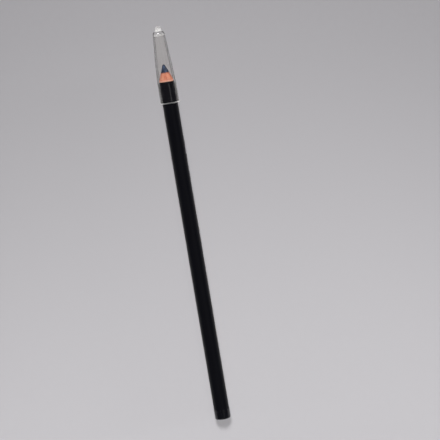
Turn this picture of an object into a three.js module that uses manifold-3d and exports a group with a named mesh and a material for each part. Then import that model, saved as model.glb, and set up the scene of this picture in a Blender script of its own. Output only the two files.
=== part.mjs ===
// Eyeliner pencil: a sharpened wood-cased cosmetic pencil with a clear push-on cap.
// Millimetres, +Z up. The pencil lies along X, with its point and its cap towards +X.
// The origin is under the middle of its length, on the surface that the cap's rim lies on.

import * as THREE from 'three';
import { mergeVertices } from 'three/addons/utils/BufferGeometryUtils.js';
import Module from 'manifold-3d';

const wasm = await Module();
wasm.setup();

// Driving dimensions of the barrel and its layers
const PENCIL_LENGTH = 177.8;
const BARREL_DIAMETER = 7.5;
const CORE_DIAMETER = 3.8;
const LACQUER_THICKNESS = 0.13;
const PRIMER_THICKNESS = 0.12;
const GLUE_THICKNESS = 0.1;
const BOND_GAP = 0.02;

// Driving dimensions of the sharpened end
const SHARPENED_HALF_ANGLE = THREE.MathUtils.degToRad(20.5);
const POINT_RADIUS = 0.7;

// Driving dimensions of the dipped tail
const TAIL_EDGE_RADIUS = 0.8;
const DIP_LENGTH = 5;
const DIP_FILM = 0.07;

// Driving dimensions of the clear cap
const CAP_GRIP_LENGTH = 10.4;
const CAP_BORE_CLEARANCE = 0.1;
const CAP_WALL = 0.8;
const CAP_END_WALL = 0.55;
const CAP_TAPER_LENGTH = 25;
const CAP_TAPER_BULGE = 0.12;
const CAP_SHOULDER_DIAMETER = 5.6;
const CAP_SHOULDER_ROUNDING = 2.2;
const CAP_SHOULDER_INSET = 0.95;
const CAP_END_THICKNESS = 1.4;
const CAP_CAVITY_DOME = 0.55;
const CAP_NOSE_DIAMETER = 3.2;
const CAP_NOSE_HEIGHT = 2.4;
const CAP_RIM_PROUD = 0.25;
const CAP_RIM_LENGTH = 0.5;
const CAP_LEAD_IN = 0.15;

// Facets: every round piece has the same sides, with a flat one underneath
const SIDES = 40;
const ARC_STEPS = 6;
const TAPER_STEPS = 6;
const HALF_SIDE = Math.PI / SIDES;

// Radii of the layers, from the barrel's surface inwards and from the core outwards
const BARREL_RADIUS = BARREL_DIAMETER / 2;
const LACQUER_INNER = BARREL_RADIUS - LACQUER_THICKNESS;
const PRIMER_OUTER = LACQUER_INNER - BOND_GAP;
const PRIMER_INNER = PRIMER_OUTER - PRIMER_THICKNESS;
const CASING_OUTER = PRIMER_INNER - BOND_GAP;
const CORE_RADIUS = CORE_DIAMETER / 2;
const CASING_INNER = CORE_RADIUS + BOND_GAP;

// Places along the pencil, from the outside of the dipped tail
const TAIL_FACE = DIP_FILM + BOND_GAP;
const CONE_APEX = PENCIL_LENGTH + POINT_RADIUS * (1 / Math.sin(SHARPENED_HALF_ANGLE) - 1);
const BARREL_FRONT = coneFace(BARREL_RADIUS);
const CAP_MOUTH = BARREL_FRONT - CAP_GRIP_LENGTH;

// Sizes of the cap, along it from its mouth
const CAP_BORE = BARREL_RADIUS + CAP_BORE_CLEARANCE;
const CAP_OUTER = CAP_BORE + CAP_WALL;
const CAP_SHOULDER = CAP_GRIP_LENGTH + CAP_TAPER_LENGTH;
const CAP_CAVITY_END = CAP_SHOULDER - CAP_END_THICKNESS;
const CAP_LENGTH = CAP_SHOULDER + CAP_NOSE_HEIGHT;

// Where the assembly lies
const OVERALL_LENGTH = CAP_MOUTH + CAP_LENGTH;
const AXIS_HEIGHT = (CAP_OUTER + CAP_RIM_PROUD) * Math.cos(HALF_SIDE);

// Place along the pencil where the sharpened cone has the given radius.
function coneFace(radius) {
  return CONE_APEX - radius / Math.tan(SHARPENED_HALF_ANGLE);
}

// Profile points of an elliptical arc about a centre, between two angles from the radial direction.
function arc(centreRadius, centreAlong, radial, axial, fromAngle, toAngle) {
  const points = [];
  for (let step = 0; step <= ARC_STEPS; step += 1) {
    const angle = fromAngle + (toAngle - fromAngle) * (step / ARC_STEPS);
    const radius = centreRadius + radial * Math.cos(angle);
    points.push(new THREE.Vector2(radius, centreAlong + axial * Math.sin(angle)));
  }
  return points;
}

// Profile points across a tail with a rounded edge, from one radius out to another.
// The offset is how far the tail's face and edge lie outside the bare barrel's.
function tailEdge(innerRadius, outerRadius, offset) {
  const edge = TAIL_EDGE_RADIUS + offset;
  const centreRadius = BARREL_RADIUS - TAIL_EDGE_RADIUS;
  const centreAlong = TAIL_FACE + TAIL_EDGE_RADIUS;
  const inner = Math.max(innerRadius, centreRadius);
  const outer = Math.max(outerRadius, centreRadius);
  const fromAngle = -Math.acos(Math.min((inner - centreRadius) / edge, 1));
  const toAngle = -Math.acos(Math.min((outer - centreRadius) / edge, 1));
  const points = arc(centreRadius, centreAlong, edge, edge, fromAngle, toAngle);
  if (innerRadius < centreRadius) {
    points.unshift(new THREE.Vector2(innerRadius, centreAlong - edge));
  }
  return points;
}

// A closed profile of (radius, along) points, turned about the pencil's axis, which lies along +X.
function turned(profile) {
  const geometry = new THREE.LatheGeometry(profile, SIDES, HALF_SIDE);
  geometry.rotateZ(-Math.PI / 2);
  return geometry;
}

// A closed geometry as a solid that can be cut.
function solid(geometry) {
  const bare = geometry.clone();
  bare.deleteAttribute('normal');
  bare.deleteAttribute('uv');
  const merged = mergeVertices(bare);
  const vertProperties = new Float32Array(merged.attributes.position.array);
  const triVerts = new Uint32Array(merged.index.array);
  return new wasm.Manifold(new wasm.Mesh({ numProp: 3, vertProperties, triVerts }));
}

// A cut solid as a geometry.
function geometryOf(body) {
  const mesh = body.getMesh();
  const geometry = new THREE.BufferGeometry();
  geometry.setAttribute('position', new THREE.BufferAttribute(new Float32Array(mesh.vertProperties), 3));
  geometry.setIndex(new THREE.BufferAttribute(new Uint32Array(mesh.triVerts), 1));
  geometry.computeVertexNormals();
  return geometry;
}

// A block along the whole pencil, between two places across it and two heights about its axis.
function block(fromAcross, toAcross, fromHeight, toHeight) {
  const geometry = new THREE.BoxGeometry(2 * PENCIL_LENGTH, toAcross - fromAcross, toHeight - fromHeight);
  geometry.translate(PENCIL_LENGTH / 2, (fromAcross + toAcross) / 2, (fromHeight + toHeight) / 2);
  return solid(geometry);
}

// One layer round the pencil: a tube with its tail edge rounded and its front cut by the sharpening.
function layer(innerRadius, outerRadius) {
  const profile = tailEdge(innerRadius, outerRadius, 0);
  profile.push(new THREE.Vector2(outerRadius, coneFace(outerRadius)));
  profile.push(new THREE.Vector2(innerRadius, coneFace(innerRadius)));
  profile.push(profile[0].clone());
  return turned(profile);
}

// The pigment core: a rod with a cone that ends in a slightly blunt point.
function core() {
  const centreAlong = PENCIL_LENGTH - POINT_RADIUS;
  const profile = [
    new THREE.Vector2(0, TAIL_FACE),
    new THREE.Vector2(CORE_RADIUS, TAIL_FACE),
    new THREE.Vector2(CORE_RADIUS, coneFace(CORE_RADIUS)),
    ...arc(0, centreAlong, POINT_RADIUS, POINT_RADIUS, SHARPENED_HALF_ANGLE, Math.PI / 2),
  ];
  profile[profile.length - 1].x = 0;
  return turned(profile);
}

// The coat over the tail: a shallow cup of film that laps over the lacquer.
function tailDip() {
  const innerRadius = BARREL_RADIUS + BOND_GAP;
  const outerRadius = innerRadius + DIP_FILM;
  const inside = tailEdge(0, innerRadius, BOND_GAP);
  const profile = tailEdge(0, outerRadius, BOND_GAP + DIP_FILM);
  profile.push(new THREE.Vector2(outerRadius, DIP_LENGTH - DIP_FILM));
  profile.push(new THREE.Vector2(innerRadius, DIP_LENGTH));
  profile.push(...inside.reverse());
  return turned(profile);
}

// Outer radius of the cap's taper, a slightly convex cone: share 0 is the end of the grip, 1 the shoulder.
function capTaper(share) {
  const straight = THREE.MathUtils.lerp(CAP_OUTER, CAP_SHOULDER_DIAMETER / 2, share);
  return straight + 4 * CAP_TAPER_BULGE * share * (1 - share);
}

// Inner radius of the taper, whose wall thins evenly towards the shoulder.
function capCavity(share) {
  return capTaper(share) - THREE.MathUtils.lerp(CAP_WALL, CAP_END_WALL, share);
}

// The clear cap: a straight grip with a beaded mouth, a taper whose shoulder is drawn in by a long rounding, and
// a solid nose with a short straight wall under its dome.
function cap() {
  const cavityWallEnd = CAP_CAVITY_END - CAP_CAVITY_DOME;
  const cavityWallShare = (cavityWallEnd - CAP_GRIP_LENGTH) / CAP_TAPER_LENGTH;
  const profile = arc(0, cavityWallEnd, capCavity(cavityWallShare), CAP_CAVITY_DOME, Math.PI / 2, 0);
  profile[0].x = 0;
  for (let step = TAPER_STEPS - 1; step >= 0; step -= 1) {
    const share = cavityWallShare * (step / TAPER_STEPS);
    profile.push(new THREE.Vector2(capCavity(share), CAP_GRIP_LENGTH + CAP_TAPER_LENGTH * share));
  }
  profile.push(new THREE.Vector2(CAP_BORE, CAP_LEAD_IN));
  profile.push(new THREE.Vector2(CAP_BORE + CAP_LEAD_IN, 0));
  const rimMiddle = CAP_RIM_LENGTH / 2;
  profile.push(...arc(CAP_OUTER, rimMiddle, CAP_RIM_PROUD, rimMiddle, -Math.PI / 2, Math.PI / 2));
  const roundingShare = 1 - CAP_SHOULDER_ROUNDING / CAP_TAPER_LENGTH;
  for (let step = 0; step < TAPER_STEPS; step += 1) {
    const share = roundingShare * (step / TAPER_STEPS);
    profile.push(new THREE.Vector2(capTaper(share), CAP_GRIP_LENGTH + CAP_TAPER_LENGTH * share));
  }
  const drawnIn = capTaper(roundingShare) - CAP_SHOULDER_INSET;
  const roundingStart = CAP_SHOULDER - CAP_SHOULDER_ROUNDING;
  profile.push(...arc(drawnIn, roundingStart, CAP_SHOULDER_INSET, CAP_SHOULDER_ROUNDING, 0, Math.PI / 2));
  const noseRadius = CAP_NOSE_DIAMETER / 2;
  profile.push(new THREE.Vector2(noseRadius, CAP_SHOULDER));
  profile.push(...arc(0, CAP_LENGTH - noseRadius, noseRadius, noseRadius, 0, Math.PI / 2));
  profile[profile.length - 1].x = 0;
  return turned(profile);
}

// A named piece with its own finish.
function piece(name, geometry, finish) {
  const mesh = new THREE.Mesh(geometry, new THREE.MeshStandardMaterial(finish));
  mesh.name = name;
  return mesh;
}

const CEDAR = { color: 0xcf7d58, roughness: 0.75, metalness: 0 };
const GLUE = { color: 0x6e3f2c, roughness: 0.6, metalness: 0 };
const PIGMENT = { color: 0x222c46, roughness: 0.45, metalness: 0 };
const PRIMER = { color: 0xe3b79b, roughness: 0.6, metalness: 0 };
const LACQUER = { color: 0x111216, roughness: 0.35, metalness: 0 };
const CLEAR = { color: 0xe6e8e2, roughness: 0.05, metalness: 0, transparent: true, opacity: 0.3 };

// The casing is turned whole, then parted along the middle by its glue
const casing = solid(layer(CASING_INNER, CASING_OUTER));
const seam = GLUE_THICKNESS / 2;
const slatFace = seam + BOND_GAP;
const upperHalf = block(-BARREL_RADIUS, BARREL_RADIUS, slatFace, BARREL_RADIUS);
const lowerHalf = block(-BARREL_RADIUS, BARREL_RADIUS, -BARREL_RADIUS, -slatFace);
const leftSeam = block(0, BARREL_RADIUS, -seam, seam);
const rightSeam = block(-BARREL_RADIUS, 0, -seam, seam);

const pencil = new THREE.Group();
pencil.add(piece('upper_slat', geometryOf(casing.intersect(upperHalf)), CEDAR));
pencil.add(piece('lower_slat', geometryOf(casing.intersect(lowerHalf)), CEDAR));
pencil.add(piece('left_glue_seam', geometryOf(casing.intersect(leftSeam)), GLUE));
pencil.add(piece('right_glue_seam', geometryOf(casing.intersect(rightSeam)), GLUE));
pencil.add(piece('core', core(), PIGMENT));
pencil.add(piece('primer_coat', layer(PRIMER_INNER, PRIMER_OUTER), PRIMER));
pencil.add(piece('lacquer_coat', layer(LACQUER_INNER, BARREL_RADIUS), LACQUER));
pencil.add(piece('tail_dip', tailDip(), LACQUER));

const clearCap = piece('cap', cap(), CLEAR);
clearCap.position.x = CAP_MOUTH;
pencil.add(clearCap);

pencil.position.set(-OVERALL_LENGTH / 2, 0, AXIS_HEIGHT);

const eyelinerPencil = new THREE.Group();
eyelinerPencil.add(pencil);

export default eyelinerPencil;
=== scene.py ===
"""Looks of a sharpened wood-cased eyeliner pencil with a clear push-on cap.

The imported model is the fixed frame. Main sizes are measured on its nodes, and finer ones are named here.
Metres, +Z up: the pencil lies along X, with its point and its cap towards +X.
"""

import logging
import math
from abc import ABC, abstractmethod
from collections.abc import Callable
from dataclasses import dataclass, field
from enum import Enum

import bpy
import numpy as np
from mathutils import Matrix, Vector


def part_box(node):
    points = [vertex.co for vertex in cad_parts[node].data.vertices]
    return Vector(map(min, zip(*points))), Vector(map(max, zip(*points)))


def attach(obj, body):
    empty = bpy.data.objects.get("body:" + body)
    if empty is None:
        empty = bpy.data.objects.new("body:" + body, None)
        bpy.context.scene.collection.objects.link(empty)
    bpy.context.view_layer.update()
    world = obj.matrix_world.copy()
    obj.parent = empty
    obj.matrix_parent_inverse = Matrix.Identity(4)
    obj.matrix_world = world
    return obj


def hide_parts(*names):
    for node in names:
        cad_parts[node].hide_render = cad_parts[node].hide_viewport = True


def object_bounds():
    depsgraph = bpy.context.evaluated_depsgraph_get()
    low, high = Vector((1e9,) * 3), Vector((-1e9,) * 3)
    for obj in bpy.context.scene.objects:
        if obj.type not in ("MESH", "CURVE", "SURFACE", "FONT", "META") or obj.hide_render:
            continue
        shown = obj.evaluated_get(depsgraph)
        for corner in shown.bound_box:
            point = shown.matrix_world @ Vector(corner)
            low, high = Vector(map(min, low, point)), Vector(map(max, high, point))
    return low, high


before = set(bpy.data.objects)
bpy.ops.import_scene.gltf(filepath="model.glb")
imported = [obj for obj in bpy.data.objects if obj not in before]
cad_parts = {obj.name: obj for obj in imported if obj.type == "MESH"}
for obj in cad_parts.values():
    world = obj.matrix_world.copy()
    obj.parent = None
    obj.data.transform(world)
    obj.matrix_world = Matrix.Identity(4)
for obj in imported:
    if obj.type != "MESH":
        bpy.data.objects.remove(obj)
cad_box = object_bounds()

LOG = logging.getLogger("eyeliner_pencil")
MM = 0.001
QUARTER = math.pi / 2
SHARP_EDGE = math.radians(38)
AXIS_HEIGHT = sum(corner.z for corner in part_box("lacquer_coat")) / 2

# Numbers of points round the pencil, across its tail's flat and edge, and along the inside of a layer
AROUND = 160
FLAT_ROWS = 6
TAIL_ROWS = 12
INSIDE_ROWS = 6

# Share of a node's largest radius from which a vertex counts as lying on it
ON_RADIUS = 0.999

# Sockets of a Mix node that mixes colours, which share their names with its other kinds
MIX_FACTOR, MIX_FROM, MIX_TO, MIX_COLOUR = 0, 6, 7, 2

# A profile is the radius and the place along the pencil of each of its points. A shape is its points,
# and its faces in blocks with the same number of corners.
Pair = tuple[float, float]
Triple = tuple[float, float, float]
Profile = tuple[np.ndarray, np.ndarray]
Shape = tuple[np.ndarray, list[np.ndarray]]


def linear(code: str) -> tuple[float, float, float, float]:
    """Turns an sRGB hex colour into the linear colour that a shader takes.

    Args:
        code: the colour as #rrggbb.

    Returns:
        Linear red, green and blue, and an alpha of 1.
    """
    toned = np.array([int(code[place:place + 2], 16) for place in (1, 3, 5)]) / 255
    light = np.where(toned <= 0.04045, toned / 12.92, ((toned + 0.055) / 1.055) ** 2.4)
    return (*light.tolist(), 1.0)


def add_node(
    tree: bpy.types.NodeTree, kind: str, sockets: dict | None = None, **settings: object
) -> bpy.types.Node:
    """Adds a node with its settings and links.

    Args:
        tree: the node tree that the node goes into.
        kind: the node's type name.
        sockets: what goes to an input, by the input's name or number. It is a value, a source socket, or a
            source node, whose first output is taken.
        settings: properties of the node itself.

    Returns:
        The new node.
    """
    node = tree.nodes.new(kind)
    for name, value in settings.items():
        setattr(node, name, value)
    for name, value in (sockets or {}).items():
        source = value.outputs[0] if isinstance(value, bpy.types.Node) else value
        if isinstance(source, bpy.types.NodeSocket):
            tree.links.new(source, node.inputs[name])
        else:
            node.inputs[name].default_value = source
    return node


@dataclass(frozen=True)
class Pattern:
    """Cloudy unevenness of a real size along X, Y and Z, with finer detail in it."""

    size_mm: Triple
    detail: float = 4.0
    shift: Triple = (0.0, 0.0, 0.0)

    def wire(self, tree: bpy.types.NodeTree, place: bpy.types.NodeSocket) -> bpy.types.Node:
        """Adds the pattern to a material, with one unit of it as long as each real size.

        Args:
            tree: the material's node tree.
            place: Object coordinates, in metres.

        Returns:
            The node that gives the pattern's value, from 0 to 1.
        """
        per_metre = tuple(1 / (size * MM) for size in self.size_mm)
        scaled = {"Vector": place, "Scale": per_metre, "Location": self.shift}
        stretched = add_node(tree, "ShaderNodeMapping", scaled)
        return add_node(
            tree, "ShaderNodeTexNoise", {"Vector": stretched, "Scale": 1.0, "Detail": self.detail}
        )


@dataclass(frozen=True)
class Layer:
    """A colour over others: none of it where its pattern is at start, and its share of it at full."""

    colour: str
    pattern: bpy.types.Node | bpy.types.NodeSocket
    start: float = 0.0
    full: float = 1.0
    share: float = 1.0


def layered(tree: bpy.types.NodeTree, lowest: str, *layers: Layer) -> bpy.types.NodeSocket:
    """Lays colours over each other.

    Args:
        tree: the material's node tree.
        lowest: the colour under all layers, as sRGB hex.
        layers: the colours over it, in order.

    Returns:
        The colour that they give together.
    """
    colour = linear(lowest)
    for layer in layers:
        amount = add_node(
            tree,
            "ShaderNodeMapRange",
            {"Value": layer.pattern, "From Min": layer.start, "From Max": layer.full, "To Max": layer.share},
        )
        mixed = add_node(
            tree,
            "ShaderNodeMix",
            {MIX_FACTOR: amount, MIX_FROM: colour, MIX_TO: linear(layer.colour)},
            data_type="RGBA",
        )
        colour = mixed.outputs[MIX_COLOUR]
    return colour


@dataclass(frozen=True)
class Finish(ABC):
    """A real material with its surface, as a procedural shader."""

    name: str

    def material(self) -> bpy.types.Material:
        """Makes the finish as a Blender material.

        Returns:
            A material whose shader is wired by the finish itself.
        """
        made = bpy.data.materials.new(self.name)
        made.use_nodes = True
        tree = made.node_tree
        tree.nodes.clear()
        place = add_node(tree, "ShaderNodeTexCoord").outputs["Object"]
        shader = add_node(tree, "ShaderNodeBsdfPrincipled", self.sockets(tree, place))
        add_node(tree, "ShaderNodeOutputMaterial", {"Surface": shader})
        return made

    @abstractmethod
    def sockets(self, tree: bpy.types.NodeTree, place: bpy.types.NodeSocket) -> dict:
        """Wires the finish's patterns.

        Args:
            tree: the material's node tree.
            place: Object coordinates, in metres.

        Returns:
            What goes into each socket of the Principled shader.
        """


# Nitrocellulose lacquer, flow-coated in many thin layers over sanded wood. The eye sees a deep black with a
# soft sheen, and long faint streaks where the grain of the wood shows through the coat.
@dataclass(frozen=True)
class BlackLacquer(Finish):
    """Black lacquer of the barrel, or of its glossier dipped tail."""

    name: str = "nitrocellulose_lacquer_flow_coated"
    deep: str = "#08080b"
    thin: str = "#0f0f14"
    roughness: Pair = (0.3, 0.4)
    specular: float = 0.15
    grain: Pattern = Pattern((16.0, 0.6, 0.6), detail=3.0)
    grain_range: Pair = (0.3, 0.7)
    grain_height_mm: float = 0.004
    peel: Pattern = Pattern((0.9, 0.9, 0.9), detail=1.0)
    peel_height_mm: float = 0.003

    def sockets(self, tree: bpy.types.NodeTree, place: bpy.types.NodeSocket) -> dict:
        """Wires streaks of grain that colour the black and raise it, and orange peel that ripples it.

        Args:
            tree: the material's node tree.
            place: Object coordinates, in metres.

        Returns:
            What goes into each socket of the Principled shader.
        """
        grain = self.grain.wire(tree, place)
        peel = self.peel.wire(tree, place)
        start, end = self.grain_range
        low, high = self.roughness
        rough = add_node(
            tree,
            "ShaderNodeMapRange",
            {"Value": grain, "From Min": start, "From Max": end, "To Min": low, "To Max": high},
        )
        raised = add_node(tree, "ShaderNodeBump", {"Height": grain, "Distance": self.grain_height_mm * MM})
        rippled = add_node(
            tree,
            "ShaderNodeBump",
            {"Height": peel, "Distance": self.peel_height_mm * MM, "Normal": raised},
        )
        return {
            "Base Color": layered(tree, self.deep, Layer(self.thin, grain)),
            "Roughness": rough,
            "Specular IOR Level": self.specular,
            "Normal": rippled,
        }


# Where the wood's patterns start, chosen so that its streaks lie about as in the photograph
WOOD_SHIFT = (0.0, 2.59, 5.81)


# Incense cedar cut by a sharpener's blade. The eye sees warm orange-brown wood with paler and darker streaks
# along the grain, short dark pores, a pale rim where the coat ends, and pigment rubbed in next to the core.
@dataclass(frozen=True)
class CutCedar(Finish):
    """Bare cedar of the sharpened cone. It reads how far across the casing each point lies."""

    name: str = "incense_cedar_knife_cut"
    late: str = "#b8674c"
    early: str = "#d48a6e"
    pale_fibre: str = "#e2ab94"
    dark_pore: str = "#8f3e2a"
    rim: str = "#dba195"
    rubbed: str = "#2a2a36"
    share: str = "casing_share"
    # Fibres are about 0.05 mm wide and are drawn broad enough to show
    rings: Pattern = Pattern((40.0, 1.5, 1.1), detail=1.0, shift=WOOD_SHIFT)
    fibres: Pattern = Pattern((6.0, 0.45, 0.45), detail=4.0, shift=WOOD_SHIFT)
    pores: Pattern = Pattern((1.6, 0.22, 0.22), detail=2.0, shift=WOOD_SHIFT)
    raggedness: float = 0.28
    roughness: Pair = (0.6, 0.85)
    specular: float = 0.3
    fibre_height_mm: float = 0.02

    def sockets(self, tree: bpy.types.NodeTree, place: bpy.types.NodeSocket) -> dict:
        """Wires rings, fibres and pores along the pencil, and a rim and a rubbed band round the cone.

        Args:
            tree: the material's node tree.
            place: Object coordinates, in metres.

        Returns:
            What goes into each socket of the Principled shader.
        """
        fibres = self.fibres.wire(tree, place)
        share = add_node(tree, "ShaderNodeAttribute", attribute_name=self.share).outputs["Fac"]
        ragged = add_node(
            tree, "ShaderNodeMath", {0: fibres, 1: -self.raggedness, 2: share}, operation="MULTIPLY_ADD"
        )
        colour = layered(
            tree,
            self.late,
            Layer(self.early, self.rings.wire(tree, place), start=0.38, full=0.62),
            Layer(self.pale_fibre, fibres, start=0.50, full=0.72, share=0.75),
            Layer(self.dark_pore, self.pores.wire(tree, place), start=0.60, full=0.74, share=0.55),
            Layer(self.rim, share, start=0.90, full=0.99, share=0.8),
            Layer(self.rubbed, ragged, start=0.00, full=-0.14, share=0.85),
        )
        low, high = self.roughness
        rough = add_node(tree, "ShaderNodeMapRange", {"Value": fibres, "To Min": low, "To Max": high})
        torn = add_node(tree, "ShaderNodeBump", {"Height": fibres, "Distance": self.fibre_height_mm * MM})
        return {
            "Base Color": colour,
            "Roughness": rough,
            "Specular IOR Level": self.specular,
            "Normal": torn,
        }


# Two tones of one matter, mottled. The kohl core is wax and iron-blue pigment pressed into a stick, and the
# eye sees a waxy navy with paler streaks along the cone. The primer is a filled base coat, seen only as
# its cut edge: pale, dry and grainy. The glue is PVA that soaked into the wood: a darker, slightly shiny
# thread.
@dataclass(frozen=True)
class Mottled(Finish):
    """A finish of two tones, mottled at a real size, with its own roughness and unevenness."""

    dark: str
    pale: str
    mottle: Pattern
    roughness: Pair
    tones: Pair = (0.35, 0.70)
    specular: float = 0.5
    metallic: float = 0.0
    height_mm: float = 0.01

    def sockets(self, tree: bpy.types.NodeTree, place: bpy.types.NodeSocket) -> dict:
        """Wires one stretched pattern to colour, roughness and height together.

        Args:
            tree: the material's node tree.
            place: Object coordinates, in metres.

        Returns:
            What goes into each socket of the Principled shader.
        """
        mottle = self.mottle.wire(tree, place)
        start, full = self.tones
        low, high = self.roughness
        rough = add_node(
            tree,
            "ShaderNodeMapRange",
            {"Value": mottle, "From Min": start, "From Max": full, "To Min": low, "To Max": high},
        )
        uneven = add_node(tree, "ShaderNodeBump", {"Height": mottle, "Distance": self.height_mm * MM})
        return {
            "Base Color": layered(tree, self.dark, Layer(self.pale, mottle, start, full)),
            "Roughness": rough,
            "Specular IOR Level": self.specular,
            "Metallic": self.metallic,
            "Normal": uneven,
        }


BARREL_LACQUER = BlackLacquer()
DIP_LACQUER = BlackLacquer(name="nitrocellulose_lacquer_dipped", roughness=(0.2, 0.3), specular=0.5)
CEDAR = CutCedar()
# The core's pattern is shifted so that its paler streaks lie about as in the photograph
KOHL = Mottled(
    name="kohl_wax_pigment_knife_cut",
    dark="#0c1019",
    pale="#4c5974",
    mottle=Pattern((5.0, 0.5, 0.5), shift=(0.0, 2.22, 4.98)),
    tones=(0.38, 0.62),
    roughness=(0.5, 0.6),
    specular=0.12,
    height_mm=0.012,
)
PRIMER = Mottled(
    name="filled_primer_cut_edge",
    dark="#c98f78",
    pale="#dfae96",
    mottle=Pattern((0.4, 0.3, 0.3)),
    roughness=(0.6, 0.75),
    specular=0.3,
)
GLUE = Mottled(
    name="pva_glue_line_dried",
    dark="#4c2a1c",
    pale="#7a4a32",
    mottle=Pattern((1.5, 0.3, 0.3)),
    roughness=(0.45, 0.6),
)
# Foil pressed on with a heated die: thin metal that takes the lacquer's unevenness, so its glints break up
FOIL = Mottled(
    name="gold_foil_hot_stamped",
    dark="#cfa552",
    pale="#f4dc9c",
    mottle=Pattern((1.2, 0.4, 0.4)),
    roughness=(0.22, 0.38),
    metallic=1.0,
    height_mm=0.004,
)


# Acrylic, injection-moulded in a polished cavity. The eye sees a clear body that bends what lies behind it,
# with dark lines along its walls deepened by painted shade where they are seen edge-on, a milky bead and
# nose, and a light haze of handling marks.
@dataclass(frozen=True)
class ClearMoulding(Finish):
    """Clear plastic of the cap. It reads its frost, and its painted shade or milkiness seen edge-on."""

    name: str = "acrylic_injection_moulded_clear"
    tint: str = "#fffefc"
    # Painted shade: a dark tint mixed into the walls where they are seen edge-on
    painted_shade_tint: str = "#52534c"
    edge_rise: Pair = (0.25, 0.55)
    edge_fall: Pair = (0.6, 0.85)
    edge_left: float = 0.45
    edged: str = "painted_shade_or_milky_edge"
    milky_clearness: float = 0.1
    frosted: str = "frosted_share"
    frost_roughness: float = 0.6
    frost_rough_end: float = 0.4
    frost_clear_start: float = 0.3
    frost_clearness: float = 0.45
    ior: float = 1.49
    specular: float = 0.25
    roughness: Pair = (0.01, 0.05)
    haze: Pattern = Pattern((2.4, 2.4, 2.4), detail=3.0)
    haze_range: Pair = (0.4, 0.7)
    flow: Pattern = Pattern((9.0, 3.0, 3.0), detail=1.0)
    flow_height_mm: float = 0.0015

    def sockets(self, tree: bpy.types.NodeTree, place: bpy.types.NodeSocket) -> dict:
        """Wires hazing marks, slow waves of the melt that ripple the surface, frost, and painted edge shade.

        Args:
            tree: the material's node tree.
            place: Object coordinates, in metres.

        Returns:
            What goes into each socket of the Principled shader.
        """
        haze = self.haze.wire(tree, place)
        flow = self.flow.wire(tree, place)
        frost = add_node(tree, "ShaderNodeAttribute", attribute_name=self.frosted).outputs["Fac"]
        # dark is the share of painted shade on walls seen edge-on
        edge, dark = self.edges(tree)
        start, end = self.haze_range
        low, high = self.roughness
        hazy = add_node(
            tree,
            "ShaderNodeMapRange",
            {"Value": haze, "From Min": start, "From Max": end, "To Min": low, "To Max": high},
        )
        rough = add_node(
            tree,
            "ShaderNodeMapRange",
            {
                "Value": frost,
                "From Max": self.frost_rough_end,
                "To Min": hazy,
                "To Max": self.frost_roughness,
            },
        )
        clear = add_node(
            tree,
            "ShaderNodeMapRange",
            {
                "Value": frost,
                "From Min": self.frost_clear_start,
                "To Min": 1.0,
                "To Max": self.frost_clearness,
            },
        )
        milky = add_node(
            tree,
            "ShaderNodeMapRange",
            {"Value": edge, "From Max": -1.0, "To Min": clear, "To Max": self.milky_clearness},
        )
        rippled = add_node(tree, "ShaderNodeBump", {"Height": flow, "Distance": self.flow_height_mm * MM})
        return {
            "Base Color": layered(tree, self.tint, Layer(self.painted_shade_tint, dark)),
            "Roughness": rough,
            "IOR": self.ior,
            "Specular IOR Level": self.specular,
            "Transmission Weight": milky,
            "Normal": rippled,
        }

    def edges(self, tree: bpy.types.NodeTree) -> tuple[bpy.types.Node, bpy.types.Node]:
        """Wires painted shade, or milkiness, on walls where they are seen edge-on.

        The edge is the attribute's value times the square of a share that rises as the surface turns away.
        Dark is the painted shade: the edge, held down by a share that falls again right at the outline.

        Args:
            tree: the material's node tree.

        Returns:
            The edge, above 0 where it takes painted shade and below 0 where it is milky, and the shade's
            share.
        """
        facing = add_node(tree, "ShaderNodeLayerWeight").outputs["Facing"]
        edged = add_node(tree, "ShaderNodeAttribute", attribute_name=self.edged).outputs["Fac"]
        start, end = self.edge_rise
        turned = add_node(
            tree, "ShaderNodeMapRange", {"Value": facing, "From Min": start, "From Max": end}
        )
        squared = add_node(tree, "ShaderNodeMath", {0: turned, 1: turned}, operation="MULTIPLY")
        edge = add_node(tree, "ShaderNodeMath", {0: squared, 1: edged}, operation="MULTIPLY")
        start, end = self.edge_fall
        darkest = add_node(
            tree,
            "ShaderNodeMapRange",
            {"Value": facing, "From Min": start, "From Max": end, "To Min": 1.0, "To Max": self.edge_left},
        )
        return edge, add_node(tree, "ShaderNodeMath", {0: edge, 1: darkest}, operation="MINIMUM")


CLEAR = ClearMoulding()


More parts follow.
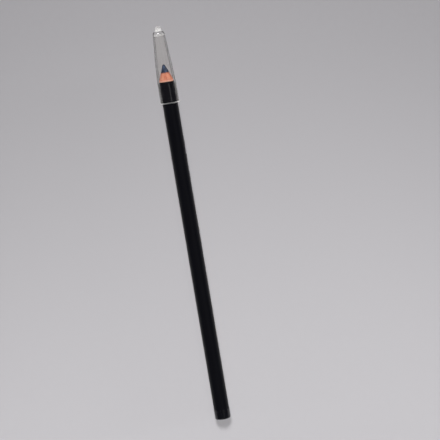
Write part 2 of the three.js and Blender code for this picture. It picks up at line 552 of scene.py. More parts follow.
# Seamless paper, matt. The eye sees an even pale grey, with painted shade that darkens it slowly towards
# the far end and to the sides, standing in for light that falls off.
@dataclass(frozen=True)
class PaperSweep(Finish):
    """Pale grey paper of the floor, with painted shade that darkens it along the pencil and to its sides."""

    name: str = "seamless_paper_matt"
    near: str = "#c4c2c5"
    # Painted shade: the paper turns to this grey along the pencil and to its sides, a painted light falloff
    far: str = "#989699"
    painted_falloff: Pair = (-0.105, 0.195)
    painted_side_falloff: float = 2.0
    fleck: str = "#b4b2b5"
    fleck_share: float = 0.12
    pulp: Pattern = Pattern((3.0, 3.0, 3.0), detail=3.0)
    roughness: float = 0.9
    specular: float = 0.1

    def sockets(self, tree: bpy.types.NodeTree, place: bpy.types.NodeSocket) -> dict:
        """Wires painted shade from near to far along X, sooner with the square of Y, and flecks of pulp.

        Args:
            tree: the material's node tree.
            place: Object coordinates, in metres.

        Returns:
            What goes into each socket of the Principled shader.
        """
        split = add_node(tree, "ShaderNodeSeparateXYZ", {"Vector": place}).outputs
        squared = add_node(tree, "ShaderNodeMath", {0: split["Y"], 1: split["Y"]}, operation="MULTIPLY")
        bowed = add_node(
            tree, "ShaderNodeMath", {0: squared, 1: self.painted_side_falloff, 2: split["X"]}, operation="MULTIPLY_ADD"
        )
        start, end = self.painted_falloff
        # Share of painted shade over the paper
        painted_falloff_share = add_node(
            tree,
            "ShaderNodeMapRange",
            {"Value": bowed, "From Min": start, "From Max": end},
            interpolation_type="SMOOTHSTEP",
        )
        flecks = Layer(self.fleck, self.pulp.wire(tree, place), share=self.fleck_share)
        return {
            "Base Color": layered(tree, self.near, Layer(self.far, painted_falloff_share), flecks),
            "Roughness": self.roughness,
            "Specular IOR Level": self.specular,
        }


def node_rings(node: str) -> tuple[np.ndarray, np.ndarray]:
    """Measures the vertices of a round CAD node.

    Args:
        node: the node's name.

    Returns:
        Each vertex's place along the pencil, and its distance from the pencil's axis.
    """
    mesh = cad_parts[node].data
    flat = np.empty(3 * len(mesh.vertices), np.float32)
    mesh.vertices.foreach_get("co", flat)
    along, across, height = flat.reshape(-1, 3).astype(float).T
    return along, np.hypot(across, height - AXIS_HEIGHT)


@dataclass(frozen=True)
class PencilSizes:
    """Radii of the pencil's layers and places along it, measured on the frame."""

    core: float
    casing_inner: float
    casing_outer: float
    primer_inner: float
    primer_outer: float
    lacquer_inner: float
    barrel: float
    dip: float
    tail_face: float
    tail_edge: float
    dip_face: float
    dip_end: float
    cone_apex: float
    cone_run: float
    point: float
    glue_thickness: float

    @classmethod
    def measured(cls) -> "PencilSizes":
        """Reads every size off the CAD nodes.

        Returns:
            The sizes, in metres.
        """
        core_along, core_radius = node_rings("core")
        _, primer_radius = node_rings("primer_coat")
        coat_along, coat_radius = node_rings("lacquer_coat")
        dip_along, dip_radius = node_rings("tail_dip")
        glue_low, glue_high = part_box("left_glue_seam")
        core, barrel, lacquer_inner = core_radius.max(), coat_radius.max(), coat_radius.min()
        bond_gap = lacquer_inner - primer_radius.max()
        cone_start = core_along[core_radius > ON_RADIUS * core].max()
        cone_run = (cone_start - coat_along.max()) / (lacquer_inner - core)
        tail_face = core_along.min()
        return cls(
            core=core,
            casing_inner=core + bond_gap,
            casing_outer=primer_radius.min() - bond_gap,
            primer_inner=primer_radius.min(),
            primer_outer=primer_radius.max(),
            lacquer_inner=lacquer_inner,
            barrel=barrel,
            dip=dip_radius.max(),
            tail_face=tail_face,
            tail_edge=coat_along[coat_radius > ON_RADIUS * barrel].min() - tail_face,
            dip_face=dip_along.min(),
            dip_end=dip_along.max(),
            cone_apex=cone_start + cone_run * core,
            cone_run=cone_run,
            point=core_along.max(),
            glue_thickness=glue_high.z - glue_low.z,
        )


@dataclass(frozen=True)
class SharpenedFace:
    """The cone that the sharpener cut through every layer, so that all of them end flush."""

    sizes: PencilSizes
    wave: float = 0.09 * MM
    # Share of the wave, number round the cone and starting angle of each of its parts
    wave_parts: tuple[Triple, ...] = ((0.5, 3, 0.7), (0.3, 5, 2.1), (0.2, 9, 4.0))
    cusp: float = 0.3 * MM
    cusp_width: float = math.radians(12)
    ridge: float = 0.008 * MM
    ridge_pitch: float = 0.5 * MM
    ridge_starts: int = 2

    def along(self, radius: np.ndarray, angle: np.ndarray) -> np.ndarray:
        """Gives where the cut lies along the pencil.

        Apex minus run times radius, plus the edge's waves and its cusps at the two glue seams, which fade
        with the square of the radius, plus fine ridges of the blade that wind round the cone.

        Args:
            radius: distance from the axis.
            angle: angle round the axis from straight up.

        Returns:
            The place along X.
        """
        waves = sum(share * np.sin(count * angle + start) for share, count, start in self.wave_parts)
        cusps = np.exp(-np.abs(np.cos(angle)) / self.cusp_width)
        edge = (self.wave * waves + self.cusp * cusps) * (radius / self.sizes.barrel) ** 2
        ridges = self.ridge * np.sin(2 * np.pi * radius / self.ridge_pitch + self.ridge_starts * angle)
        return self.sizes.cone_apex - self.sizes.cone_run * radius + edge + ridges

    def half_angle(self) -> float:
        """Gives the angle between the cone and the axis."""
        return math.atan(1 / self.sizes.cone_run)


def arc(centre: Pair, half: Pair, turn: Pair, count: int) -> Profile:
    """Makes an elliptical arc of a profile.

    Radius is the centre's plus one half size times the cosine of an angle, and along is the centre's plus
    the other half size times its sine, with the angle going evenly from its first to its last value.

    Args:
        centre: radius and place along the pencil of the ellipse's centre.
        half: its half sizes away from the axis and along the pencil.
        turn: first and last angle, from the radial direction.
        count: number of points.

    Returns:
        The arc.
    """
    angle = np.linspace(*turn, count)
    return centre[0] + half[0] * np.cos(angle), centre[1] + half[1] * np.sin(angle)


def line(start: Pair, end: Pair, count: int) -> Profile:
    """Makes a straight stretch of a profile, between its two ends but without them."""
    share = np.linspace(0, 1, count + 2)[1:-1]
    return start[0] + share * (end[0] - start[0]), start[1] + share * (end[1] - start[1])


def joined(*stretches: Profile) -> Profile:
    """Joins stretches of a profile, as a column of radii and a column of places along the pencil."""
    return tuple(np.concatenate(parts)[:, None] for parts in zip(*stretches))


def around(along: np.ndarray, radius: np.ndarray, angle: np.ndarray) -> np.ndarray:
    """Carries a profile round the axis: y is radius times sine, z is the axis plus radius times cosine."""
    spread = np.broadcast_arrays(along, radius * np.sin(angle), AXIS_HEIGHT + radius * np.cos(angle))
    return np.stack(spread, axis=-1)


def full_turn() -> np.ndarray:
    """Gives a row with the angles of one whole turn, without its end."""
    return np.linspace(-np.pi, np.pi, AROUND, endpoint=False)[None, :]


def quads(rows: int, columns: int, close_rows: bool = False, close_columns: bool = False) -> np.ndarray:
    """Numbers the faces of a grid of points.

    Args:
        rows: number of rows.
        columns: number of points in a row.
        close_rows: whether the last row joins the first.
        close_columns: whether each row's end joins its start.

    Returns:
        Four point numbers for each face.
    """
    row, column = np.meshgrid(
        np.arange(rows if close_rows else rows - 1),
        np.arange(columns if close_columns else columns - 1),
        indexing="ij",
    )
    next_row = (row + 1) % rows * columns
    row = row * columns
    next_column = (column + 1) % columns
    corners = (row + column, next_row + column, next_row + next_column, row + next_column)
    return np.stack(corners, axis=-1).reshape(-1, 4)


def pole_to_pole(points: np.ndarray) -> Shape:
    """Closes a grid of rings whose first and last rows each lie at one point on the axis.

    Args:
        points: a grid of points, row by row.

    Returns:
        The shape, with one point for each pole after those of the rings.
    """
    rings = points[1:-1]
    rows, columns = rings.shape[:2]
    flat = np.concatenate((rings.reshape(-1, 3), points[0, :1], points[-1, :1]))
    here = np.arange(columns)
    beside = (here + 1) % columns
    first_pole = np.full(columns, rows * columns)
    last_ring = (rows - 1) * columns
    fans = (
        np.stack((first_pole, here, beside), axis=-1),
        np.stack((last_ring + here, first_pole + 1, last_ring + beside), axis=-1),
    )
    return flat, [quads(rows, columns, close_columns=True), *fans]


def slab(top: np.ndarray, bottom: np.ndarray) -> Shape:
    """Closes the space between two grids of the same shape with a strip round their edges.

    Args:
        top: one grid of points.
        bottom: the grid opposite it.

    Returns:
        The shape.
    """
    rows, columns = top.shape[:2]
    number = np.arange(rows * columns).reshape(rows, columns)
    edge = np.concatenate((number[0, :-1], number[:-1, -1], number[-1, :0:-1], number[:0:-1, 0]))
    after = np.roll(edge, -1)
    face = quads(rows, columns)
    strip = np.stack((edge, after, after + rows * columns, edge + rows * columns), axis=-1)
    points = np.concatenate((top.reshape(-1, 3), bottom.reshape(-1, 3)))
    return points, [face, face[:, ::-1] + rows * columns, strip]


def outward(points: np.ndarray, faces: list[np.ndarray]) -> list[np.ndarray]:
    """Turns every face round if the closed shape's signed volume says that they point inwards.

    Args:
        points: the shape's points.
        faces: its faces, in blocks with the same number of corners.

    Returns:
        The faces, pointing outwards.
    """
    volume = 0.0
    for block in faces:
        for corner in range(1, block.shape[1] - 1):
            side = np.cross(points[block[:, corner]], points[block[:, corner + 1]])
            volume += float(np.sum(points[block[:, 0]] * side))
    return faces if volume > 0 else [block[:, ::-1] for block in faces]


def store(piece: bpy.types.Object, name: str, values: np.ndarray) -> None:
    """Keeps one number for each point of a piece, as the attribute that its finish reads by that name."""
    kept = piece.data.attributes.new(name, "FLOAT", "POINT")
    kept.data.foreach_set("value", values.astype(np.float32).ravel())


@dataclass(kw_only=True)
class SubAssembly(ABC):
    """Pieces that are built and dressed together, and ride on one body."""

    body: str = "pencil"
    pieces: list[bpy.types.Object] = field(default_factory=list)

    @abstractmethod
    def build(self) -> None:
        """Makes the pieces' meshes."""

    @abstractmethod
    def dress(self) -> None:
        """Gives the pieces their finishes."""

    def add(self, name: str, shape: Shape, nodes: tuple[str, ...] = (), slot: str = "") -> bpy.types.Object:
        """Makes one closed, smooth-shaded piece and puts it in the frame.

        Args:
            name: the piece's name.
            shape: its points, in metres, and its faces.
            nodes: CAD nodes that it stands for.
            slot: not used.

        Returns:
            The new object.
        """
        points, faces = shape
        mesh = bpy.data.meshes.new(name)
        corners = [face for block in outward(points, faces) for face in block.tolist()]
        mesh.from_pydata(points.tolist(), [], corners)
        mesh.shade_smooth()
        mesh.set_sharp_from_angle(angle=SHARP_EDGE)
        piece = bpy.data.objects.new(name, mesh)
        bpy.context.scene.collection.objects.link(piece)
        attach(piece, self.body)
        if nodes:
            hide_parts(*nodes)
        self.pieces.append(piece)
        return piece

    def coat(self, finish: Finish, *pieces: bpy.types.Object) -> None:
        """Gives some pieces one finish.

        Args:
            finish: the finish.
            pieces: the pieces that share its material.
        """
        material = finish.material()
        for piece in pieces:
            piece.data.materials.append(material)


def tail_edge(sizes: PencilSizes, inner: float, outer: float, offset: float = 0.0) -> Profile:
    """Makes a layer's profile across the pencil's tail, whose edge is rounded.

    The edge is an arc that is concentric for every layer, and inside it the tail is flat.

    Args:
        sizes: the pencil's sizes.
        inner: the layer's inner radius.
        outer: its outer radius.
        offset: how far the tail lies outside the bare barrel's.

    Returns:
        The profile, from the inner radius to the outer.
    """
    edge = sizes.tail_edge + offset
    centre_radius = sizes.barrel - sizes.tail_edge
    centre_along = sizes.tail_face + sizes.tail_edge
    reach = [min(max(radius - centre_radius, 0.0) / edge, 1.0) for radius in (inner, outer)]
    turn = (-math.acos(reach[0]), -math.acos(reach[1]))
    rounded = arc((centre_radius, centre_along), (edge, edge), turn, TAIL_ROWS)
    if inner >= centre_radius:
        return rounded
    flat_along = centre_along - edge
    flat = line((inner, flat_along), (centre_radius, flat_along), FLAT_ROWS)
    start = (np.array([inner]), np.array([flat_along]))
    return tuple(np.concatenate(parts) for parts in zip(start, flat, rounded))


def layer_grid(
    face: SharpenedFace,
    inner: float,
    outer: float,
    angles: Callable[[np.ndarray], np.ndarray],
    run_rows: int,
    face_rows: int,
) -> tuple[np.ndarray, np.ndarray, np.ndarray]:
    """Makes the section of one layer at every angle round the pencil.

    The rows go round the section: across the tail from the inner to the outer radius, along the outside to
    the sharpened face, down the face to the inner radius, and back along the inside.

    Args:
        face: the sharpened face.
        inner: the layer's inner radius.
        outer: its outer radius.
        angles: gives the angles of a row from its radius.
        run_rows: number of rows along the outside.
        face_rows: number of rows down the sharpened face.

    Returns:
        Place along the pencil, radius and angle of each point of the grid.
    """
    tail_radius, tail_along = tail_edge(face.sizes, inner, outer)
    face_radius = np.linspace(outer, inner, face_rows)
    radius = np.concatenate(
        (tail_radius, np.full(run_rows, outer), face_radius, np.full(INSIDE_ROWS, inner))
    )[:, None]
    angle = angles(radius)
    start = np.concatenate(
        (tail_along, np.full(run_rows, tail_along[-1]), face_radius, np.full(INSIDE_ROWS, tail_along[0]))
    )[:, None]
    share = np.concatenate(
        (
            np.zeros(len(tail_radius)),
            np.linspace(0, 1, run_rows + 2)[1:-1],
            np.ones(face_rows),
            np.linspace(1, 0, INSIDE_ROWS + 2)[1:-1],
        )
    )[:, None]
    along = start + share * (face.along(radius, angle) - start)
    return along, np.broadcast_to(radius, along.shape), angle


@dataclass(kw_only=True)
class Casing(SubAssembly):
    """The two cedar slats and the glue between them."""

    face: SharpenedFace
    run_rows: int = 24
    face_rows: int = 60
    glue_rows: tuple[int, int] = (24, 40)

    def build(self) -> None:
        """Makes both slats and both glue seams."""
        self.slats = [
            self.slat("upper_cedar_slat", "upper_slat", 0.0),
            self.slat("lower_cedar_slat", "lower_slat", math.pi),
        ]
        self.seams = [
            self.seam("left_glue_line", "left_glue_seam", 1.0),
            self.seam("right_glue_line", "right_glue_seam", -1.0),
        ]

    def slat(self, name: str, node: str, middle: float) -> bpy.types.Object:
        """Makes one slat: half of a layer, with flat faces towards the glue.

        Its angles go evenly to each side of its middle, up to where radius times cosine is the height of the
        flat face.

        Args:
            name: the piece's name.
            node: the CAD node that it stands for.
            middle: angle of the slat's middle from straight up.

        Returns:
            The slat.
        """
        sizes = self.face.sizes
        low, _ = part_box("upper_slat")
        flat_height = low.z - AXIS_HEIGHT
        share = np.linspace(-1, 1, AROUND // 2 + 1)
        along, radius, angle = layer_grid(
            self.face,
            sizes.casing_inner,
            sizes.casing_outer,
            lambda ring: middle + share * np.arccos(flat_height / ring),
            self.run_rows,
            self.face_rows,
        )
        rows, columns = along.shape
        ends = np.arange(rows)[None, :] * columns
        faces = [quads(rows, columns, close_rows=True), ends[:, ::-1], ends + columns - 1]
        points = around(along, radius, angle).reshape(-1, 3)
        piece = self.add(name, (points, faces), (node,), "cedar")
        store(piece, CEDAR.share, (radius - sizes.casing_inner) / (sizes.casing_outer - sizes.casing_inner))
        return piece

    def seam(self, name: str, node: str, side: float) -> bpy.types.Object:
        """Makes one glue seam: a thin slab from the core's groove out to the primer.

        Args:
            name: the piece's name.
            node: the CAD node that it stands for.
            side: 1 for the side towards +Y, -1 for the other.

        Returns:
            The seam.
        """
        sizes = self.face.sizes
        rows, columns = self.glue_rows
        radius = np.linspace(sizes.casing_inner, sizes.casing_outer, columns)[None, :]
        share = np.linspace(0, 1, rows)[:, None]
        rounding = np.maximum(radius - sizes.barrel + sizes.tail_edge, 0.0)
        start = sizes.tail_face + sizes.tail_edge - np.sqrt(sizes.tail_edge**2 - rounding**2)
        along = start + share * (self.face.along(radius, np.array(QUARTER)) - start)
        across = np.broadcast_to(side * radius, along.shape)
        half = np.full(along.shape, sizes.glue_thickness / 2)
        top, bottom = (np.stack((along, across, AXIS_HEIGHT + rise), axis=-1) for rise in (half, -half))
        return self.add(name, slab(top, bottom), (node,), "glue")

    def dress(self) -> None:
        """Cuts the slats from cedar and fills the seams with glue."""
        self.coat(CEDAR, *self.slats)
        self.coat(GLUE, *self.seams)


@dataclass(kw_only=True)
class Core(SubAssembly):
    """The pigment core, from the tail to its blunt, slightly worn point."""

    face: SharpenedFace
    rod_rows: int = 12
    cone_rows: int = 40
    point_rows: int = 14
    wear: float = 0.12 * MM

    def build(self) -> None:
        """Makes the core: a rod, the sharpened cone, and a ball point that leans to one side."""
        sizes = self.face.sizes
        slope = self.face.half_angle()
        ball = (sizes.cone_apex - sizes.point) / (1 / math.sin(slope) - 1)
        rod_end = sizes.cone_apex - sizes.cone_run * sizes.core
        tail = (np.array([0.0, sizes.core]), np.array([sizes.tail_face, sizes.tail_face]))
        rod = line((sizes.core, sizes.tail_face), (sizes.core, rod_end), self.rod_rows)
        cone_radius = np.linspace(sizes.core, ball * math.cos(slope), self.cone_rows)
        cone = (cone_radius, sizes.cone_apex - sizes.cone_run * cone_radius)
        point = arc((0.0, sizes.point - ball), (ball, ball), (slope, QUARTER), self.point_rows)
        radius, along = joined(tail, rod, cone, tuple(part[1:] for part in point))
        angle = full_turn()
        first = len(tail[0]) + self.rod_rows
        along = np.broadcast_to(along, (len(along), AROUND)).copy()
        along[first:first + self.cone_rows] = self.face.along(cone_radius[:, None], angle)
        radius[-1] = 0.0
        points = around(along, radius, angle)
        lean = np.clip((along - rod_end) / (sizes.point - rod_end), 0, 1) ** 3
        points[..., 1] += self.wear * lean
        self.add("kohl_core", pole_to_pole(points), ("core",), "pigment")

    def dress(self) -> None:
        """Gives the core its waxy pigment."""
        self.coat(KOHL, *self.pieces)


@dataclass(kw_only=True)
class Coats(SubAssembly):
    """Primer, lacquer and the dipped tail."""

    face: SharpenedFace
    primer_rows: tuple[int, int] = (6, 8)
    lacquer_rows: tuple[int, int] = (220, 8)
    dip_rows: int = 24
    bead_rows: int = 10
    unevenness: float = 0.008 * MM
    # Length along the barrel, turns round it and starting angle of each wave of the lacquer
    swells: tuple[Triple, ...] = (
        (7.3 * MM, 1, 0.3),
        (11.9 * MM, 2, 1.9),
        (19.0 * MM, 3, 4.1),
        (31.0 * MM, 2, 2.6),
    )
    fade: float = 3 * MM
    lip: float = 0.03 * MM
    lip_length: float = 0.5 * MM

    def build(self) -> None:
        """Makes the three coats."""
        sizes = self.face.sizes
        under, over = (sizes.primer_inner, sizes.primer_outer), (sizes.lacquer_inner, sizes.barrel)
        self.primer = self.sleeve("primer_edge", "primer_coat", "primer", under, self.primer_rows, 0.0)
        self.lacquer = self.sleeve(
            "black_lacquer", "lacquer_coat", "lacquer", over, self.lacquer_rows, self.unevenness
        )
        self.dip = self.dipped_tail()

    def sleeve(
        self, name: str, node: str, slot: str, radii: Pair, rows: tuple[int, int], height: float
    ) -> bpy.types.Object:
        """Makes a coat that goes all round the pencil, with an outside that swells unevenly.

        Args:
            name: the piece's name.
            node: the CAD node that it stands for.
            slot: the record's material slot of the coat, passed on to add.
            radii: its inner and its outer radius.
            rows: number of rows along its outside and down the sharpened face.
            height: how far its outside swells at most.

        Returns:
            The coat.
        """
        along, radius, angle = layer_grid(
            self.face, *radii, lambda ring: np.broadcast_to(full_turn(), (len(ring), AROUND)), *rows
        )
        radius = radius + height * self.swell(along, angle) * (radius > sum(radii) / 2)
        faces = [quads(*along.shape, close_rows=True, close_columns=True)]
        return self.add(name, (around(along, radius, angle).reshape(-1, 3), faces), (node,), slot)

    def swell(self, along: np.ndarray, angle: np.ndarray) -> np.ndarray:
        """Gives the mean of long waves that wind round the barrel, faded out evenly at its ends.

        Args:
            along: place along the pencil.
            angle: angle round its axis.

        Returns:
            Share of the full height, from -1 to 1.
        """
        sizes = self.face.sizes
        lengths, turns, starts = np.array(self.swells).T
        waves = np.sin(2 * np.pi * along[..., None] / lengths + turns * angle[..., None] + starts)
        front = self.face.along(np.array(sizes.barrel), angle)
        back = sizes.tail_face + sizes.tail_edge
        inside = np.minimum(along - back, front - along)
        return waves.mean(axis=-1) * np.clip(inside / self.fade, 0, 1)

    def dipped_tail(self) -> bpy.types.Object:
        """Makes the dip: a cup of film with a rounded edge and a soft bead where the dip ended.

        Returns:
            The dip.
        """
        sizes = self.face.sizes
        film = sizes.dip - sizes.barrel
        gap = sizes.lacquer_inner - sizes.primer_outer
        inner = sizes.barrel + gap
        middle = (inner + sizes.dip) / 2
        wall_end = sizes.dip_end - self.lip_length
        outside = tail_edge(sizes, 0.0, sizes.dip, film)
        wall = line((sizes.dip, outside[1][-1]), (sizes.dip, wall_end), self.dip_rows)
        bead_half = ((sizes.dip - inner) / 2, self.lip_length)
        bead = arc((middle, wall_end), bead_half, (0, math.pi), self.bead_rows)
        inside = tail_edge(sizes, 0.0, inner, gap)
        radius, along = joined(outside, wall, bead, tuple(part[::-1] for part in inside))
        swell = np.exp(-(((along - sizes.dip_end + 2 * self.lip_length) / self.lip_length) ** 2))
        radius = radius + self.lip * swell * (radius > middle)
        points = around(along, radius, full_turn())
        return self.add("dipped_tail", pole_to_pole(points), ("tail_dip",), "lacquer")

    def dress(self) -> None:
        """Gives each coat its finish."""
        self.coat(PRIMER, self.primer)
        self.coat(BARREL_LACQUER, self.lacquer)
        self.coat(DIP_LACQUER, self.dip)


class MarkShape(Enum):
    """Shapes in the stamped band."""

    RULE = "rule"
    LOZENGE = "lozenge"
    DOT = "dot"


@dataclass(kw_only=True)
class FoilBand(SubAssembly):
    """A stamped gold band along one side of the barrel: two fine rules, with lozenges and dots between."""

    sizes: PencilSizes
    side: float = math.radians(-106)
    start: float = 9 * MM
    pitch: float = 4 * MM
    repeats: int = 25
    band_width: float = 2.2 * MM
    rule_width: float = 0.2 * MM
    lozenge: Pair = (2.0 * MM, 1.1 * MM)
    dot: float = 0.24 * MM
    proud: float = 0.014 * MM
    sunk: float = 0.03 * MM
    rule_grid: tuple[int, int] = (101, 3)
    mark_grid: tuple[int, int] = (5, 5)

    def build(self) -> None:
        """Makes every mark of the band as one piece."""
        first = self.sizes.dip_face + self.start
        length = self.pitch * self.repeats
        step = first + self.pitch * (np.arange(self.repeats) + 0.5)
        rows = (
            (MarkShape.RULE, np.array([first + length / 2]), self.band_width / 2),
            (MarkShape.RULE, np.array([first + length / 2]), -self.band_width / 2),
            (MarkShape.LOZENGE, step, 0.0),
            (MarkShape.DOT, step[1:] - self.pitch / 2, 0.0),
        )
        points, faces, count = [], [], 0
        for shape, centres, offset in rows:
            for centre in centres:
                mark_points, mark_faces = self.mark(shape, centre, offset, length)
                points.append(mark_points)
                faces.extend(block + count for block in mark_faces)
                count += len(mark_points)
        self.add("gold_foil_band", (np.concatenate(points), faces))

    def mark(self, shape: MarkShape, centre: float, offset: float, length: float) -> Shape:
        """Makes one mark, bent round the barrel.

        A square grid from -1 to 1 is stretched into a rule, turned half a right angle into a lozenge, or
        rounded into a disc, and is then laid on the barrel with its width as an arc.

        Args:
            shape: the mark's shape.
            centre: place of its middle along the pencil.
            offset: its distance from the middle of the band.
            length: length of a rule.

        Returns:
            The mark.
        """
        rows, columns = self.rule_grid if shape is MarkShape.RULE else self.mark_grid
        s, t = np.meshgrid(np.linspace(-1, 1, rows), np.linspace(-1, 1, columns), indexing="ij")
        if shape is MarkShape.RULE:
            lengthwise, across = s * length / 2, t * self.rule_width / 2
        elif shape is MarkShape.LOZENGE:
            lengthwise, across = (s + t) / 4 * self.lozenge[0], (s - t) / 4 * self.lozenge[1]
        else:
            lengthwise, across = s * np.sqrt(1 - t**2 / 2) * self.dot, t * np.sqrt(1 - s**2 / 2) * self.dot
        angle = self.side + (offset + across) / self.sizes.barrel
        top, bottom = (
            around(centre + lengthwise, np.full(angle.shape, self.sizes.barrel + height), angle)
            for height in (self.proud, -self.sunk)
        )
        return slab(top, bottom)

    def dress(self) -> None:
        """Gilds the band."""
        self.coat(FOIL, *self.pieces)


@dataclass(kw_only=True)
class ClearCap(SubAssembly):
    """The clear cap: a beaded mouth, a straight grip, a bulging taper, a drawn-in shoulder and a solid nose.

    Its wall thins towards the end of its cavity. Bead, nose and the cavity's end are frosted, and its walls
    take painted shade, or turn milky, where they are seen edge-on.
    """

    body: str = "cap"
    grip: float = 10.4 * MM
    wall: float = 0.8 * MM
    end_wall: float = 0.55 * MM
    bulge: float = 0.12 * MM
    shoulder: float = 2.8 * MM
    shoulder_rounding: float = 2.2 * MM
    shoulder_inset: float = 0.95 * MM
    end_thickness: float = 1.4 * MM
    cavity_dome: float = 0.55 * MM
    nose_radius: float = 1.6 * MM
    nose_height: float = 2.4 * MM
    nose_fillet: float = 0.4 * MM
    rim_proud: float = 0.25 * MM
    rim_length: float = 0.5 * MM
    lead_in: float = 0.15 * MM
    bend: float = 0.04
    wall_rows: int = 100
    arc_rows: int = 24
    fillet_rows: int = 8
    cavity_frost: float = 0.78
    rim_frost: float = 0.35
    # Shares at even steps from the nose's base to its tip
    nose_frost: tuple[float, ...] = (1.0, 0.42, 0.4)
    # Painted shade shares on the grip, at the taper's start, where the shoulder starts to round, and at its
    # end
    painted_shade_shares: tuple[float, ...] = (6.0, 0.92, 0.92, 2.0)
    edge_fade: float = 2.0 * MM
    rim_edge: float = -1.5
    nose_edge: float = -0.4

    def build(self) -> None:
        """Measures the CAD cap, makes the cap as one closed shell and stores what its finish reads."""
        low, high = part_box("cap")
        self.mouth, self.tip = low.x, high.x
        self.outer = node_rings("cap")[1].max() - self.rim_proud
        self.taper = self.tip - self.mouth - self.grip - self.nose_height
        self.grip_end = self.mouth + self.grip
        self.shoulder_end = self.grip_end + self.taper
        self.rounding_start = self.shoulder_end - self.shoulder_rounding
        self.nose_base = self.shoulder_end + self.nose_fillet
        radius, along = self.profile()
        points = around(along, radius, full_turn())
        cap = self.add("clear_cap", pole_to_pole(points), ("cap",), "clear_cap")
        for name, shares in self.shares(radius[:, 0], along[:, 0]).items():
            store(cap, name, np.concatenate((np.repeat(shares[1:-1], AROUND), shares[[0, -1]])))

    def profile(self) -> Profile:
        """Draws the section from the middle of the cavity's end, out round the mouth and on to the tip.

        Returns:
            Radius and place along the pencil of each point, as columns.
        """
        inset, fillet, lead, nose = self.shoulder_inset, self.nose_fillet, self.lead_in, self.nose_radius
        bore = self.outer - self.wall
        cavity_end = self.shoulder_end - self.end_thickness - self.cavity_dome
        inside = np.linspace(cavity_end, self.mouth + lead, self.wall_rows)
        thickness = np.interp(inside, (self.grip_end, self.shoulder_end), (self.wall, self.end_wall))
        inside_radius = self.radius_at(inside) - thickness
        outside = np.linspace(self.mouth + self.rim_length, self.rounding_start, self.wall_rows)
        outside_radius = self.radius_at(outside)
        rim = (self.rim_proud, self.rim_length / 2)
        shoulder_centre = (outside_radius[-1] - inset, self.rounding_start)
        dome_base = self.shoulder_end + self.nose_height - nose
        up, down, over = (0.0, QUARTER), (2 * QUARTER, 3 * QUARTER), (-QUARTER, QUARTER)
        lead_in = arc((bore + lead, self.mouth + lead), (lead, lead), down, self.fillet_rows)
        radius, along = joined(
            arc((0.0, cavity_end), (inside_radius[0], self.cavity_dome), up[::-1], self.arc_rows),
            (inside_radius[1:], inside[1:]),
            tuple(part[1:] for part in lead_in),
            arc((self.outer, self.mouth + rim[1]), rim, over, self.arc_rows),
            (outside_radius[1:-1], outside[1:-1]),
            arc(shoulder_centre, (inset, self.shoulder_rounding), up, self.arc_rows),
            arc((nose + fillet, self.nose_base), (fillet, fillet), down[::-1], self.fillet_rows),
            line((nose, self.nose_base), (nose, dome_base), self.arc_rows // 2),
            arc((0.0, dome_base), (nose, nose), up, self.arc_rows),
        )
        radius[0] = radius[-1] = 0.0
        return radius, along

    def radius_at(self, along: np.ndarray) -> np.ndarray:
        """Gives the cap's outer radius along its grip and taper.

        The taper's share runs from 0 at the grip to 1 at the shoulder, with its start rounded into the grip
        as a hyperbola. The radius falls evenly with that share, plus a parabola for the bulge.

        Args:
            along: place along the pencil.

        Returns:
            The outer radius there.
        """
        straight = (along - self.mouth - self.grip) / self.taper
        share = (straight + np.sqrt(straight**2 + self.bend**2)) / 2
        return self.outer + (self.shoulder - self.outer) * share + 4 * self.bulge * share * (1 - share)

    def shares(self, radius: np.ndarray, along: np.ndarray) -> dict[str, np.ndarray]:
        """Gives each ring's frost, and its painted shade or milkiness when seen edge-on.

        Args:
            radius: radius of each ring.
            along: its place along the pencil.

        Returns:
            The shares of the rings, by the name of their attribute.
        """
        on_rim = (along < self.mouth + self.rim_length) & (radius >= self.outer)
        on_nose = (along > self.shoulder_end) & (radius <= self.nose_radius + self.nose_fillet)
        frost = np.zeros(len(along))
        frost[:self.arc_rows] = self.cavity_frost
        frost[on_rim] = self.rim_frost
        nose_places = np.linspace(self.nose_base, self.tip, len(self.nose_frost))
        frost[on_nose] = np.interp(along[on_nose], nose_places, self.nose_frost)
        # Painted shade on walls seen edge-on, strongest along the grip
        places = (self.grip_end - self.edge_fade, self.grip_end, self.rounding_start, self.shoulder_end)
        edged = np.interp(along, places, self.painted_shade_shares)
        edged[frost > 0] = 0.0
        edged[on_rim] = self.rim_edge
        edged[on_nose] = self.nose_edge
        return {CLEAR.frosted: frost, CLEAR.edged: edged}

    def dress(self) -> None:
        """Moulds the cap from clear plastic, which lets the lamps shine through it."""
        self.coat(CLEAR, *self.pieces)
        for piece in self.pieces:
            piece.visible_shadow = piece.visible_diffuse = piece.visible_glossy = False


class LampKind(Enum):
    """Kinds of studio lamp."""

    SUN = "SUN"
    STRIP = "AREA"


@dataclass(frozen=True)
class Lamp:
    """A studio lamp that shines on the pencil from one direction."""

    name: str
    kind: LampKind
    towards: Triple
    energy: float
    spread_deg: float = 0.0
    strip: Pair = (0.0, 0.0)
    distance: float = 1.0
    in_reflections: bool = True

    def build(self) -> None:
        """Makes the lamp, unseen by the camera."""
        light = bpy.data.lights.new(self.name, self.kind.value)
        light.energy = self.energy
        if self.kind is LampKind.SUN:
            light.angle = math.radians(self.spread_deg)
        else:
            light.shape = "RECTANGLE"
            light.size, light.size_y = self.strip
        lamp = bpy.data.objects.new(self.name, light)
        direction = Vector(self.towards).normalized()
        lamp.location = direction * self.distance
        lamp.rotation_euler = direction.to_track_quat("Z", "Y").to_euler()
        lamp.visible_camera = False
        lamp.visible_glossy = lamp.visible_transmission = self.in_reflections
        bpy.context.scene.collection.objects.link(lamp)


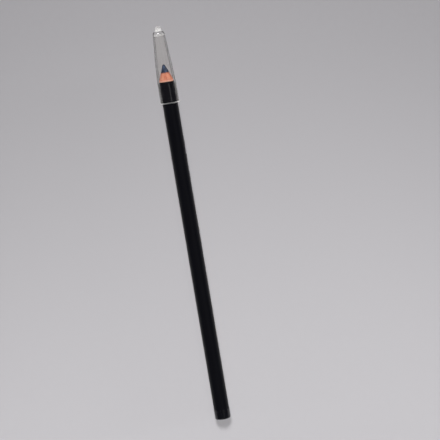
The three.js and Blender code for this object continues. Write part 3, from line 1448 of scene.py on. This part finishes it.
@dataclass(frozen=True)
class Studio:
    """Floor, lamps, surroundings and camera."""

    floor_size: float = 20.0
    surroundings: str = "#39393b"
    # Pixels of the photograph where the cap's nose and the middle of the tail lie, in its square frame
    frame_px: float = 440.0
    nose_px: Pair = (157.2, 26.6)
    tail_px: Pair = (223.2, 418.4)
    lean_to_camera: float = math.radians(7)
    lens_mm: float = 240.0
    sensor_mm: float = 36.0
    lamps: tuple[Lamp, ...] = (
        Lamp("key_softbox", LampKind.SUN, (0.64, 0.0, 0.77), 1.75, spread_deg=16),
        Lamp("overhead_softbox", LampKind.SUN, (0.12, 0.0, 0.99), 1.5, spread_deg=5, in_reflections=False),
        Lamp("left_softbox", LampKind.SUN, (0.0, 1.0, 0.09), 0.35, spread_deg=10, in_reflections=False),
        Lamp("right_softbox", LampKind.SUN, (0.0, -1.0, 0.09), 0.85, spread_deg=10, in_reflections=False),
        Lamp("fill_softbox", LampKind.SUN, (-0.8, 0.0, 0.6), 0.3, spread_deg=16),
        Lamp("streak_strip", LampKind.STRIP, (0.0, -0.42, 0.91), 2.2, strip=(3.4, 0.64), distance=3.0),
    )

    def build(self, sizes: PencilSizes) -> None:
        """Makes the whole set.

        Args:
            sizes: the pencil's sizes.
        """
        scene = bpy.context.scene
        scene.view_settings.view_transform = "Standard"
        self.lay_floor(sizes)
        for lamp in self.lamps:
            lamp.build()
        world = bpy.data.worlds.new("studio_surroundings")
        world.use_nodes = True
        world.node_tree.nodes["Background"].inputs["Color"].default_value = linear(self.surroundings)
        scene.world = world
        scene.camera = self.aim_camera()

    def lay_floor(self, sizes: PencilSizes) -> None:
        """Lays a plane that the cap's rim and the tail's edge both touch.

        Args:
            sizes: the pencil's sizes.
        """
        rim_along, rim_radius = node_rings("cap")
        rim = rim_along[rim_radius.argmax()], AXIS_HEIGHT - rim_radius.max()
        tail = sizes.dip_face + sizes.tail_edge, AXIS_HEIGHT - sizes.dip
        slope = (tail[1] - rim[1]) / (tail[0] - rim[0])
        along, across = np.meshgrid((-1.0, 1.0), (-1.0, 1.0)) * np.array(self.floor_size / 2)
        height = rim[1] + slope * (along - rim[0])
        corners = np.stack((along, across, height), axis=-1).reshape(-1, 3)
        mesh = bpy.data.meshes.new("floor")
        mesh.from_pydata(corners.tolist(), [], [(0, 1, 3, 2)])
        mesh.materials.append(PaperSweep().material())
        floor = bpy.data.objects.new("floor", mesh)
        bpy.context.scene.collection.objects.link(floor)

    def aim_camera(self) -> bpy.types.Object:
        """Makes a long-lens camera that sees the nose and the tail at their pixels of the photograph.

        The nose is nearer to the camera than the pencil's middle, and the tail is further away by as much.
        So the gap between their pixels, times the distance, less their sum times what the nose is nearer,
        has the length that the pencil is seen with. That is a square equation for the distance.

        Returns:
            The camera.
        """
        low, high = cad_box
        nose = Vector((high.x, 0.0, AXIS_HEIGHT))
        tail = Vector((low.x, 0.0, AXIS_HEIGHT))
        back = Vector((math.sin(self.lean_to_camera), 0.0, math.cos(self.lean_to_camera)))
        nearer = (nose - tail).dot(back) / 2
        seen = (nose - tail) - 2 * nearer * back
        along = seen.normalized()
        beside = along.cross(back)
        half = self.frame_px / 2
        nose_spot = Vector((self.nose_px[0] - half, half - self.nose_px[1]))
        tail_spot = Vector((self.tail_px[0] - half, half - self.tail_px[1]))
        px_per_slope = self.frame_px * self.lens_mm / self.sensor_mm
        gap, total = nose_spot - tail_spot, nose_spot + tail_spot
        cross = nearer * gap.dot(total)
        spare = (px_per_slope * seen.length) ** 2 - (nearer * total.length) ** 2
        distance = (cross + math.sqrt(cross**2 + gap.length_squared * spare)) / gap.length_squared
        rise = (gap * distance - nearer * total).normalized()
        right = rise.y * beside + rise.x * along
        up = rise.y * along - rise.x * beside
        nose_offset = (nose_spot.x * right + nose_spot.y * up) * (distance - nearer) / px_per_slope
        target = nose - nearer * back - nose_offset
        data = bpy.data.cameras.new("photo_camera")
        data.lens = self.lens_mm
        data.sensor_width = self.sensor_mm
        camera = bpy.data.objects.new("photo_camera", data)
        turn = Matrix((right, up, back)).transposed().to_4x4()
        camera.matrix_world = Matrix.Translation(target + back * distance) @ turn
        bpy.context.scene.collection.objects.link(camera)
        return camera


def main() -> None:
    """Builds the sub-assemblies in order, then the studio."""
    logging.basicConfig(level=logging.INFO, format="%(name)s: %(message)s")
    sizes = PencilSizes.measured()
    face = SharpenedFace(sizes)
    assemblies = (
        Core(face=face),
        Casing(face=face),
        Coats(face=face),
        FoilBand(sizes=sizes),
        ClearCap(),
    )
    for assembly in assemblies:
        assembly.build()
        assembly.dress()
        for piece in assembly.pieces:
            LOG.info("%s rides on %s with %d faces", piece.name, assembly.body, len(piece.data.polygons))
    Studio().build(sizes)


if __name__ == "__main__":
    main()
